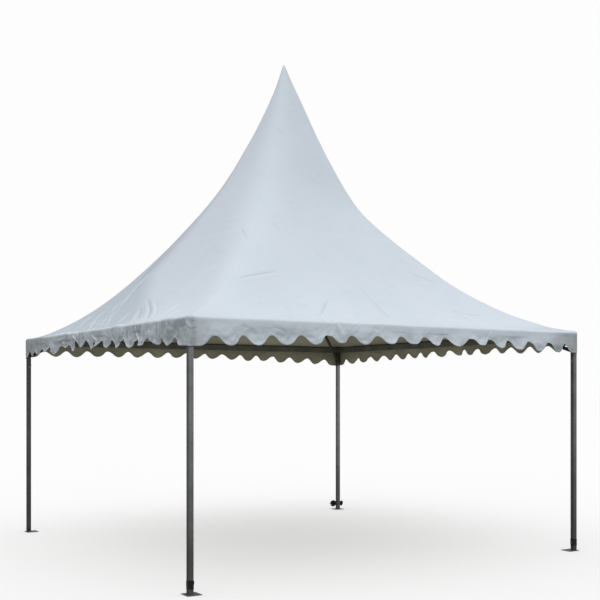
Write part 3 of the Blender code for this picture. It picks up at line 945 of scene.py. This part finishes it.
def hemPhases(side):
    # Places of the arches and the count of lobes there, and how far each lobe leans off its middle
    arches = columnPlaces(side, valance["arches"][sides[side]])
    tips = columnPlaces(side, valance["tips"][sides[side]])
    half = (arches[-1] - arches[0]) / 30
    places = [arches[0] - half, *arches, arches[-1] + half]
    counts = [0, *[k + 0.5 for k in range(16)], 16]
    leans = [np.interp(tip, places, counts) - k - 1 for k, tip in enumerate(tips)]
    return places, counts, [0, *[min(0.18, max(-0.18, lean)) for lean in leans], 0]


def archHeight(side, along):
    start, middle, end = valance["archHeights"][sides[side]]
    share = along / eaveHalf
    bow = middle - (start + end) / 2
    height = (start + end) / 2 + (end - start) / 2 * share + bow * (1 - share * share)
    for place, rise, reach in pulledUp[side]:
        height += rise * math.exp(-((along - place) / reach) ** 2)
    return height


def hangLobe(along, phases, table):
    # Depth of the hem below the arches at this column, tilt outwards in degrees, and ridge
    places, counts, leans = phases
    phase = float(np.interp(along, places, counts))
    lobe = round(phase)
    offset = phase - lobe                                          # -0.5 to 0.5 across the lobe
    offset -= leans[lobe] * (1 - 4 * offset * offset)
    turn = 2 * math.pi * abs(offset)
    flat = valance["flatness"]
    swell = math.cos(turn - valance["fullness"] * math.sin(turn))
    weight = 0.5 + 0.5 * math.tanh(flat * swell) / math.tanh(flat)
    depth, tilt, twist, ridge, gather = table[lobe]
    point = held((gather - 1) / valance["pointed"])
    weight += (1 - math.sqrt(4 * offset * offset + 0.006) - weight) * point
    other = table[min(16, max(0, lobe + (1 if offset > 0 else -1)))]
    share = abs(offset)
    spot = math.cos(math.pi * offset) ** 2
    depth = depth * (1 - share) + other[0] * share
    tilt = (tilt * (1 - share) + other[1] * share) * (0.25 + 0.75 * spot)
    ridge = ridge * math.exp(-(offset / 0.20) ** 2)
    return depth * max(0.0, weight), tilt + twist * math.sin(2 * math.pi * offset) / 2, ridge


def crumpleAt(side, along, depth):
    # Uneven hang, in metres outwards, for a place that far below the eave (0 to 1)
    broad = ripple(along * 2.7 + side * 17, depth * 1.3, 0.3) * 0.030
    small = ripple(along * 7.5 + side * 11, depth * 2.4, 1.7) * 0.009
    sharp = (0.25 - abs(ripple(along * 11 + side * 23, depth * 3.1, 7.7))) * 0.012
    fine = ripple(along * 24 + side * 5, depth * 6.0, 4.1) * 0.0040
    return (broad + small + sharp + fine) * valance["crumple"][sides[side]]


def hangColumn(side, along, base, facing, phases, table):
    # Points down one column of cloth, from its strip on the roof to the hem, and its cut length
    u = along / eaveHalf
    rise = eaveSlope(side, u)
    inset = canopy["foldRadius"] * (1 - math.sin(math.atan(rise)))      # where the roll leaves the slope
    mitre = 0.96 * max(canopy["cornerRadius"], eaveHalf - abs(along))   # the strips meet on the hip
    column = []
    for share in (1.0, 0.5):
        reach = inset + min(valance["welded"], mitre - inset) * share
        plan = base - facing * reach
        height = eaveTop + rise * reach + canopy["underlap"] * (1.15 - share * 0.2)
        column.append(Vector((plan.x, plan.y, height + earLift(plan, 0.0))))
    for step in range(valance["rollSteps"]):
        out, height = eaveRoll(side, u, 0.0, step / valance["rollSteps"])
        plan = base + facing * (out - eaveHalf)
        column.append(Vector((plan.x, plan.y, height + earLift(base, 0.0))))
    drop, tilt, ridge = hangLobe(along, phases, table)
    top = eaveRoll(side, u, 0.0, 1.0)[1]
    length = top - archHeight(side, along) + drop
    calm = min(1.0, (eaveHalf - abs(along)) / 0.25)
    height, swing, gone = top, 0.0, 0.0
    for row in range(valance["rows"] + 1):
        v = row / valance["rows"]
        v = v * (1.15 - 0.15 * v)                                  # rows closer together at the hem
        step = v * length - gone
        gone = v * length
        lean = math.radians(tilt) * eased(held((gone - valance["leanFrom"][sides[side]]) / 0.10))
        height -= step * math.cos(lean)
        swing += step * math.sin(lean)
        depth = gone / 0.25
        bulge = crumpleAt(side, along, depth) * min(1.0, depth * 1.6) * calm + ridge * depth ** 1.5
        free = held((beamBottom - height) / 0.05)
        reach = max(swing + bulge, -0.0006 - 0.09 * free)          # the beam is behind the upper part
        point = base + facing * reach
        column.append(Vector((point.x, point.y, height + earLift(base, -gone))))
    return column, length


def makeValance():
    rows = valance["rows"]
    tables = [lobeTable(side) for side in range(4)]
    phases = [hemPhases(side) for side in range(4)]
    bm = bmesh.new()
    grid, places, outward = [], [], []
    for side, along, base, facing in valancePath():
        column, length = hangColumn(side, along, base, facing, phases[side], tables[side])
        places += [(along, length + 0.02, 0.0)] * (2 + valance["rollSteps"])
        for row in range(rows + 1):
            v = row / rows
            places.append((along, length - length * v * (1.15 - 0.15 * v), length))
        outward += [tuple(facing)] * len(column)
        grid.append([bm.verts.new(point) for point in column])
    for left, right in zip(grid, grid[1:] + grid[:1]):
        for row in range(len(left) - 1):
            bm.faces.new((left[row + 1], right[row + 1], right[row], left[row]))
    bm.normal_update()
    bm.verts.ensure_lookup_table()
    points = np.array([v.co for v in bm.verts])
    lines = foldLines(BVHTree.FromBMesh(bm), creases)
    lift, core, strength = foldCloth(points, lines, valance["fullFold"])
    fixed = np.clip((eaveTop - 0.012 - points[:, 2]) / 0.03, 0, 1)
    lift = np.maximum(lift * fixed, np.where(points[:, 2] > beamBottom, 0.0, -0.02))
    for vert, push, facing in zip(bm.verts, lift, outward):
        vert.co += Vector(facing) * push
    share = valance["clothShare"]
    cloth = clothPiece(bm, "valanceCloth", valance["thickness"] / share, places, core, strength,
                       clothFinish("valanceCoating", hem=True),
                       clothFinish("valanceUnderside", outer=False))
    group = cloth.vertex_groups.new(name="binding")
    for index, place in enumerate(places):
        group.add([index], 1.0 if place[1] < clothLook["bindingWidth"] else share, "REPLACE")
    cloth.modifiers["Cloth"].vertex_group = "binding"
    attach(cloth, "root")
    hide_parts(*[f"valance_{side}" for side in sides])
    print("valance hung:", len(points), "points")


def settle(obj, slot, *nodes):
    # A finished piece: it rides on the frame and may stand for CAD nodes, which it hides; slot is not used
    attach(obj, "root")
    if nodes:
        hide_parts(*nodes)
    print(obj.name, "made:", len(obj.data.vertices), "points")


def smoothRoute(points, steps=8):
    # A smooth line through the points
    ends = [points[0] * 2 - points[1], *points, points[-1] * 2 - points[-2]]
    route = []
    for a, b, c, d in zip(ends, ends[1:], ends[2:], ends[3:]):
        for step in range(steps):
            t = step / steps
            route.append(0.5 * (2 * b + (c - a) * t + (2 * a - 5 * b + 4 * c - d) * t ** 2
                                + (3 * b - a - 3 * c + d) * t ** 3))
    return [*route, points[-1]]


def closeRings(bm, rings, closed):
    # Skin between rings of points; an open run of rings gets a cap at each end
    count = len(rings[0])
    for near, far in zip(rings, rings[1:] + rings[:1] if closed else rings[1:]):
        for i in range(count):
            bm.faces.new((near[i], near[(i + 1) % count], far[(i + 1) % count], far[i]))
    if not closed:
        bm.faces.new(rings[0])
        bm.faces.new(rings[-1][::-1])


def sweepBar(bm, path, radii, facing, closed=True, sides=8):
    # A round bar along a path that lies in one plane, facing is square to that plane
    rings = []
    count = len(path)
    for i, (point, radius) in enumerate(zip(path, radii)):
        before = path[i - 1] if closed or i else point
        after = path[(i + 1) % count] if closed or i < count - 1 else point
        across = (after - before).cross(facing).normalized()
        rings.append([bm.verts.new(point + radius * (across * math.cos(2 * math.pi * k / sides)
                                                     + facing * math.sin(2 * math.pi * k / sides)))
                      for k in range(sides)])
    closeRings(bm, rings, closed)


def tubeWalk(side, share, half, bend):
    # A point round a square tube with rounded edges and the way it faces, share runs along one face
    straight, arc = 2 * (half - bend), quarter * bend
    reach = share * (straight + arc)
    if reach <= straight:
        return turned(side, reach - half + bend, -half, 0), turned(side, 0, -1, 0)
    angle = (reach - straight) / bend
    facing = turned(side, math.sin(angle), -math.cos(angle), 0)
    return turned(side, half - bend, bend - half, 0) + facing * bend, facing


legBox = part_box("leg_front_right")
legHalf = (legBox[1].x - legBox[0].x) / 2
legCentre = legBox[1].x - legHalf

strap = {
    "width": 0.028,
    "thick": 0.0019,
    "turns": 11,                           # quarter turns round the leg
    "low": 0.0735,                         # middle of the lowest turn
    "climb": 0.0268,                       # from each turn to the next
    "bend": 0.0045,                        # round the edges of the leg
    "tilt": 0.075,                         # each turn's lower edge lies over the one below
    "buckleHeight": 0.107,
    # The tied one: threaded through the leg's hole and knotted behind it, with loops and ends to both sides
    "threaded": ((0.0005, 0.0370, 0.084), (0, 0.0290, 0.082), (0, 0.0210, 0.0803), (0, 0.0080, 0.0795)),
    "knot": (0.0, 0.0375, 0.088),
    # Each loop: the way it points, its length, half its width and its twist in degrees
    "loops": (((-0.85, 0.45, 0.02), 0.104, 0.022, 90), ((-0.83, 0.42, 0.32), 0.098, 0.019, 84),
              ((-0.84, 0.43, -0.31), 0.097, 0.019, 96), ((-0.74, 0.38, 0.60), 0.082, 0.017, 80),
              ((-0.76, 0.40, -0.52), 0.080, 0.017, 100), ((-0.66, 0.32, 0.70), 0.056, 0.014, 82),
              ((-0.70, 0.36, -0.62), 0.056, 0.014, 98),
              ((0.96, -0.06, 0.27), 0.114, 0.014, 84), ((0.97, 0.00, 0.10), 0.122, 0.016, 90),
              ((0.97, 0.04, -0.10), 0.120, 0.016, 94), ((0.95, 0.04, -0.28), 0.110, 0.013, 98)),
    "ends": (((0.004, 0.040, 0.090), (0.030, 0.044, 0.092), (0.066, 0.035, 0.096), (0.104, 0.024, 0.098)),
             ((0.004, 0.038, 0.084), (0.030, 0.041, 0.082), (0.064, 0.040, 0.078), (0.101, 0.036, 0.074))),
}


def sweepWebbing(bm, places, path, ups, width, thick, cup=0.0):
    # Flat webbing along a path, its width along ups; cup bends its edges to one side
    shape = [(w, 1 if abs(w) < 0.95 else 0.45) for w in (-1, -0.92, -0.45, 0, 0.45, 0.92, 1)]
    shape += [(w, -thickness) for w, thickness in reversed(shape)]
    rings, gone = [], 0.0
    for i, (point, up) in enumerate(zip(path, ups)):
        ahead = (path[min(i + 1, len(path) - 1)] - path[max(i - 1, 0)]).normalized()
        out = ahead.cross(up).normalized()
        across = out.cross(ahead)
        gone += (point - path[i - 1]).length if i else 0.0
        ring = []
        for w, n in shape:
            ring.append(bm.verts.new(point + across * (w * width / 2) + out * (n * thick / 2 + cup * w * w)))
            places.append((gone, w * width / 2, abs(w)))
        rings.append(ring)
    closeRings(bm, rings, closed=False)


def wrapTurns(bm, places, centre, spare):
    # The three turns of a tucked strap, each climbing to the next across the back of the leg
    half = legHalf + strap["thick"] / 2 + strap["tilt"] * strap["width"] / 2 + 0.0004
    steps = 14
    path, ups = [], []
    for index in range(strap["turns"] * steps + 1):
        count, share = divmod(index / steps, 1)
        point, facing = tubeWalk((int(count) + 3) % 4, share, half, strap["bend"] + strap["thick"])
        level = count // 4 + (eased(share) if count % 4 == 3 else 0)
        slack = ripple(index * 0.13, spare, 0.5)
        height = strap["low"] + strap["climb"] * level + slack * 0.0012
        path.append(centre + point + facing * abs(slack) * 0.0006 + Vector((0, 0, height)))
        ups.append(Vector((0, 0, 1)) - facing * strap["tilt"])
    sweepWebbing(bm, places, path, ups, strap["width"], strap["thick"], cup=-0.0003)


def tuckEnd(bm, places, centre):
    # The spare end, folded back on itself against the turns
    level = strap["low"] + 1.55 * strap["climb"]
    start = legHalf + 0.0052
    route = [Vector(p) for p in ((start, -0.021, level - 0.002), (start, 0.0, level - 0.001),
                                 (start + 0.0002, 0.018, level), (start + 0.0016, 0.0222, level),
                                 (start + 0.0034, 0.0185, level), (start + 0.0040, 0.004, level + 0.001),
                                 (start + 0.0034, -0.017, level + 0.003))]
    path = [centre + p for p in smoothRoute(route, 6)]
    sweepWebbing(bm, places, path, [Vector((0.03, 0.05, 1))] * len(path), strap["width"], strap["thick"])


def tieBow(bm, places, centre):
    # Bunched webbing out of the leg's hole, a knot, and loops and loose ends to both sides
    thick = strap["thick"] * 1.7
    path = [centre + p for p in smoothRoute([Vector(p) for p in strap["threaded"]], 5)]
    sweepWebbing(bm, places, path, [Vector((1, 0, 0))] * len(path), 0.013, thick)
    knot = centre + Vector(strap["knot"])
    path = [knot + Vector((0.0035 * math.sin(2.4 * a), 0.0082 * math.cos(a), 0.0125 * math.sin(a)))
            for a in np.linspace(0, 4 * math.pi, 49)]
    sweepWebbing(bm, places, path, [Vector((1, 0.1, 0.2))] * len(path), 0.018, thick, cup=-0.0012)
    for way, length, half, twist in strap["loops"]:
        ahead = Vector(way).normalized()
        lateral = (Matrix.Rotation(math.radians(twist), 3, ahead) @ Vector((0, 0, 1)))
        lateral = (lateral - ahead * lateral.dot(ahead)).normalized()
        flat = ahead.cross(lateral)
        path = []
        for t in np.linspace(0.03, 0.97, 33):
            sag = Vector((0, 0, -0.008)) * math.sin(math.pi * t) ** 2
            path.append(knot + ahead * length * math.sin(math.pi * t) ** 1.2
                        + lateral * half * math.sin(2 * math.pi * t) * 0.8 + sag)
        sweepWebbing(bm, places, path, [flat] * len(path), strap["width"] * 0.86, strap["thick"], cup=0.0012)
    for end in strap["ends"]:
        path = [centre + p for p in smoothRoute([Vector(p) for p in end], 7)]
        ups = [Vector((0.35 * i / len(path), 0, 1)) for i in range(len(path))]
        sweepWebbing(bm, places, path, ups, strap["width"] * 0.8, strap["thick"], cup=0.0016)


def makeStraps():
    finish = webbingFinish()
    for spare, corner in enumerate(("front_left", "front_right", "back_right")):
        bm = bmesh.new()
        places = []
        centre = Vector((legCentre * (1 if "right" in corner else -1),
                         legCentre * (1 if "back" in corner else -1), 0))
        if corner == "back_right":
            tieBow(bm, places, centre)
        else:
            wrapTurns(bm, places, centre, spare)
            tuckEnd(bm, places, centre)
        bmesh.ops.recalc_face_normals(bm, faces=bm.faces)
        mesh = meshFrom(bm, f"strap_{corner}")
        paintPlaces(mesh, "clothPlace", places)
        settle(newObject(f"strap_{corner}", mesh, finish), "webbing", f"foot_strap_{corner}")


def makeBuckle(finish):
    # A slide buckle on the front right strap: a frame of bent rod with a bar across it
    bm = bmesh.new()
    centre = Vector((legCentre, -legCentre, 0))
    out = legHalf + 0.0085
    facing = Vector((1, 0, 0))
    frameHalf, tall, bend = 0.011, 0.0172, 0.004

    def place(off, y, z):
        return centre + Vector((-out - off, y, strap["buckleHeight"] + z))

    path = []
    for side in range(4):
        for step in range(6):
            angle = quarter * (side + step / 5)
            y = (frameHalf - bend) * (1 if side in (0, 3) else -1) + bend * math.cos(angle)
            z = (tall - bend) * (1 if side in (0, 1) else -1) + bend * math.sin(angle)
            path.append(place(0, y, z))
    sweepBar(bm, path, [0.0017] * len(path), facing)
    bar = [place(0.0004, 0.001, z) for z in np.linspace(-tall, tall, 5)]
    sweepBar(bm, bar, [0.0019] * len(bar), facing, closed=False)
    tongue = [place(0.0022, y, 0.001) for y in np.linspace(-0.012, 0.002, 6)]
    sweepBar(bm, tongue, [0.0015, 0.0016, 0.0017, 0.0017, 0.0018, 0.0020], facing, closed=False)
    bmesh.ops.recalc_face_normals(bm, faces=bm.faces)
    settle(newObject("strapBuckle", meshFrom(bm, "strapBuckle"), finish), "frame_steel")


fastener = {
    "across": 0.017,                       # M10 hexagon head, over its flats
    "head": 0.0068,
    "washer": 0.0105,
    "washerThick": 0.0020,
    "legDrop": 0.055,                      # below the top of each leg
    "legStagger": 0.024,                   # from there down to the leg's second bolt
    "hipTube": 0.021,                      # radius of a hip bar
    "beamReach": 0.060,                    # from the end of each beam
    "hipReach": 0.075,                     # from each end of a hip bar
    "hubReach": 0.120,
    "beadRadius": 0.0034,
}


def addBolt(bm, place, facing):
    # A hexagon head on its washer, standing on a face
    turn = Matrix.Translation(place) @ facing.to_track_quat("Z", "Y").to_matrix().to_4x4()
    thick, tall = fastener["washerThick"], fastener["head"]
    parts = ((30, fastener["washer"], thick, thick / 2, 0.0003),
             (6, fastener["across"] / math.sqrt(3), tall, thick + tall / 2, 0.0008),
             (16, fastener["across"] * 0.34, 0.0006, thick + tall + 0.0001, 0.0002))
    for segments, radius, deep, level, edge in parts:
        made = bmesh.ops.create_cone(bm, cap_ends=True, segments=segments, radius1=radius, radius2=radius,
                                     depth=deep, matrix=turn @ Matrix.Translation((0, 0, level)))
        rims = {e for v in made["verts"] for e in v.link_edges}
        bmesh.ops.bevel(bm, geom=list(rims), offset=edge, segments=2, profile=0.6, affect="EDGES")


def hipBarPlace(corner, radius):
    # A place on the underside of a hip bar at that distance from the axis, and its way down
    low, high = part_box(f"hip_bar_{corner}")
    pitch = (high.z - low.z) / math.hypot(high.x - low.x, high.y - low.y)
    outer = max(abs(low.x), abs(high.x)) * math.sqrt(2)
    tubeRadius = fastener["hipTube"]
    away = Vector((1 if "right" in corner else -1, 1 if "back" in corner else -1, 0)).normalized()
    angle = math.atan(pitch)
    down = (away * -math.sin(angle) - Vector((0, 0, math.cos(angle)))).normalized()
    axis = away * radius + Vector((0, 0, low.z + tubeRadius / math.cos(angle) + pitch * (outer - radius)))
    return axis + down * (tubeRadius - 0.0006), down, outer


def makeBolts(finish):
    bm = bmesh.new()
    level = legBox[1].z - fastener["legDrop"]
    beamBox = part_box("eave_beam_front")
    beamMiddle = (beamBox[0].z + beamBox[1].z) / 2
    inner = legCentre - legHalf
    for side in range(4):
        addBolt(bm, turned(side, -legCentre, -inner, level), turned(side, 0, 1, 0))
        addBolt(bm, turned(side, -inner, -legCentre, level - fastener["legStagger"]), turned(side, 1, 0, 0))
        for end in (-1, 1):
            reach = beamBox[1].x - fastener["beamReach"]
            addBolt(bm, turned(side, end * reach, -inner, beamMiddle), turned(side, 0, 1, 0))
        corner = corners[side]
        outer = hipBarPlace(corner, 1.0)[2]
        for radius in (outer - fastener["hipReach"], fastener["hubReach"]):
            addBolt(bm, *hipBarPlace(corner, radius)[:2])
    bmesh.ops.recalc_face_normals(bm, faces=bm.faces)
    mesh = meshFrom(bm, "frameBolts")
    mesh.set_sharp_from_angle(angle=math.radians(35))
    settle(newObject("frameBolts", mesh, finish), "frame_steel")


def makeWelds(finish):
    # A weld bead where each leg stands on its base plate
    bm = bmesh.new()
    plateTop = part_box("base_plate_front_left")[1].z
    dice = random.Random(3)
    steps = 26
    for side in range(4):
        centre = turned(side, -legCentre, -legCentre, plateTop)
        path = []
        radii = []
        for index in range(4 * steps):
            point, facing = tubeWalk(index // steps, index % steps / steps, legHalf + 0.0006, 0.0035)
            path.append(centre + point + Vector((0, 0, 0.0006)))
            radii.append(fastener["beadRadius"] * (0.86 + 0.16 * (index % 2) + dice.uniform(0, 0.12)))
        sweepBar(bm, path, radii, Vector((0, 0, 1)))
    bmesh.ops.recalc_face_normals(bm, faces=bm.faces)
    settle(newObject("footWelds", meshFrom(bm, "footWelds"), finish), "frame_steel")


def dressSteel():
    # The frame's own pieces keep their shape, with soft edges and a zinc finish
    # Tinted copies of one zinc finish. Painted shade darkens the hip bars, hub parts and connectors under the
    # roof. The beams carry a warm tint of painted bounce light, the base plates are lighter with a painted
    # reflection of the sky, and the far leg is brighter with painted light. The back left and front right legs
    # are a little darker
    finishes = {
        "leg": steelFinish("galvanisedTube", tint=(1.12, 1.14, 1.16)),
        "leg_back_left": steelFinish("dullTube", tint=(0.68, 0.69, 0.68)),
        "leg_back_right": steelFinish("farTube", tint=(1.50, 1.51, 1.50)),
        "leg_front_right": steelFinish("frontRightLegTube", tint=(0.98, 1.00, 1.00)),
        "base": steelFinish("galvanisedPlate", tint=(2.40, 2.50, 2.50), rustFrom=0.02, shine=0.55),
        "eave": steelFinish("beamTube", tint=(1.10, 1.07, 0.90), shine=0.35),
        "corner": steelFinish("connectorTube", tint=(0.80, 0.79, 0.74)),
        "hip": steelFinish("hipTube", tint=(0.30, 0.29, 0.25)),
        "centre": steelFinish("hubTube", tint=(0.70, 0.69, 0.65)),
    }
    for name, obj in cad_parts.items():
        if name.startswith(("roof", "valance", "foot_strap")):
            continue
        finish = finishes.get(name) or finishes.get(name.split("_")[0], finishes["centre"])
        for slot in obj.material_slots:
            slot.material = finish
        weld = obj.modifiers.new("Weld", "WELD")
        weld.merge_threshold = 0.0001
        edge = obj.modifiers.new("Edges", "BEVEL")
        edge.width = 0.0008 if name.startswith(("base", "hip", "centre", "king", "mast")) else 0.003
        edge.segments = 3
        edge.angle_limit = math.radians(40)
        edge.harden_normals = True
        smooth = obj.modifiers.new("Normals", "WEIGHTED_NORMAL")
        smooth.keep_sharp = False


def makeStage():
    floor = bmesh.new()
    bmesh.ops.create_grid(floor, x_segments=8, y_segments=8, size=600)
    finish, shader, start = newFinish("paleFloor", {"Roughness": 0.9, "Specular IOR Level": 0.0,
                                                    "Emission Color": grey(1.0), "Emission Strength": 0.48})
    body = start.node("TexCoord", out="Object")
    colour = body.noise(0.6, 3, 0.5).mix(grey(0.495), grey(0.505))
    connect(shader, Base_Color=colour)
    ground = newObject("paleFloor", meshFrom(floor, "paleFloor"), finish)
    ground.visible_diffuse = False
    ground.visible_glossy = False
    ground.visible_shadow = False


light = {
    "horizon": 0.58,
    "zenith": 0.50,                        # added overhead
    "nearCorner": 0.05,                    # added towards the near corner, taken off behind
    "mirrored": 0.48,                      # what the steel mirrors is brighter on the front right
    "below": 0.24,
    "backdrop": 0.985,
    "sunFrom": (-0.50, -0.55, 0.67),
    "sunStrength": 0.42,
    "sunAngle": 50.0,
}


def makeLight():
    world = bpy.data.worlds.new("softStudio")
    world.use_nodes = True
    bpy.context.scene.world = world
    tree = world.node_tree
    start = Wire(tree)
    direction = start.node("TexCoord", out="Generated")
    x, y, z = direction.parts()
    mirrored = start.node("LightPath", out="Is Glossy Ray")
    nearCorner = (x * -0.62 - y * 0.78) * light["nearCorner"] * (1 - mirrored)
    frontRight = (x * 0.45 - y * 0.89) * light["mirrored"] * mirrored
    sky = light["horizon"] + z * light["zenith"] + nearCorner + frontRight
    lit = z.fade(-0.05, 0.05)
    strength = sky * lit + (1 - lit) * light["below"]
    seen = start.node("LightPath", out="Is Camera Ray")
    strength = seen * light["backdrop"] + (1 - seen) * strength
    back = tree.nodes["Background"]
    back.inputs["Color"].default_value = (1, 1, 1, 1)
    tree.links.new(strength.socket, back.inputs["Strength"])
    data = bpy.data.lights.new("softSun", "SUN")
    data.energy = light["sunStrength"]
    data.angle = math.radians(light["sunAngle"])
    sun = bpy.data.objects.new("softSun", data)
    sun.rotation_euler = Vector(light["sunFrom"]).to_track_quat("Z", "Y").to_euler()
    bpy.context.scene.collection.objects.link(sun)
    bpy.context.scene.view_settings.view_transform = "Standard"


makeCamera()
makeRoof()
makeValance()
dressSteel()
makeStraps()
brightSteel = steelFinish("zincPlated", tint=(1.7, 1.8, 1.85), rustFrom=0.01)
makeBuckle(brightSteel)
makeBolts(brightSteel)
makeWelds(steelFinish("weldMetal", tint=(0.85, 0.83, 0.80), rustFrom=0.05))
makeStage()
makeLight()
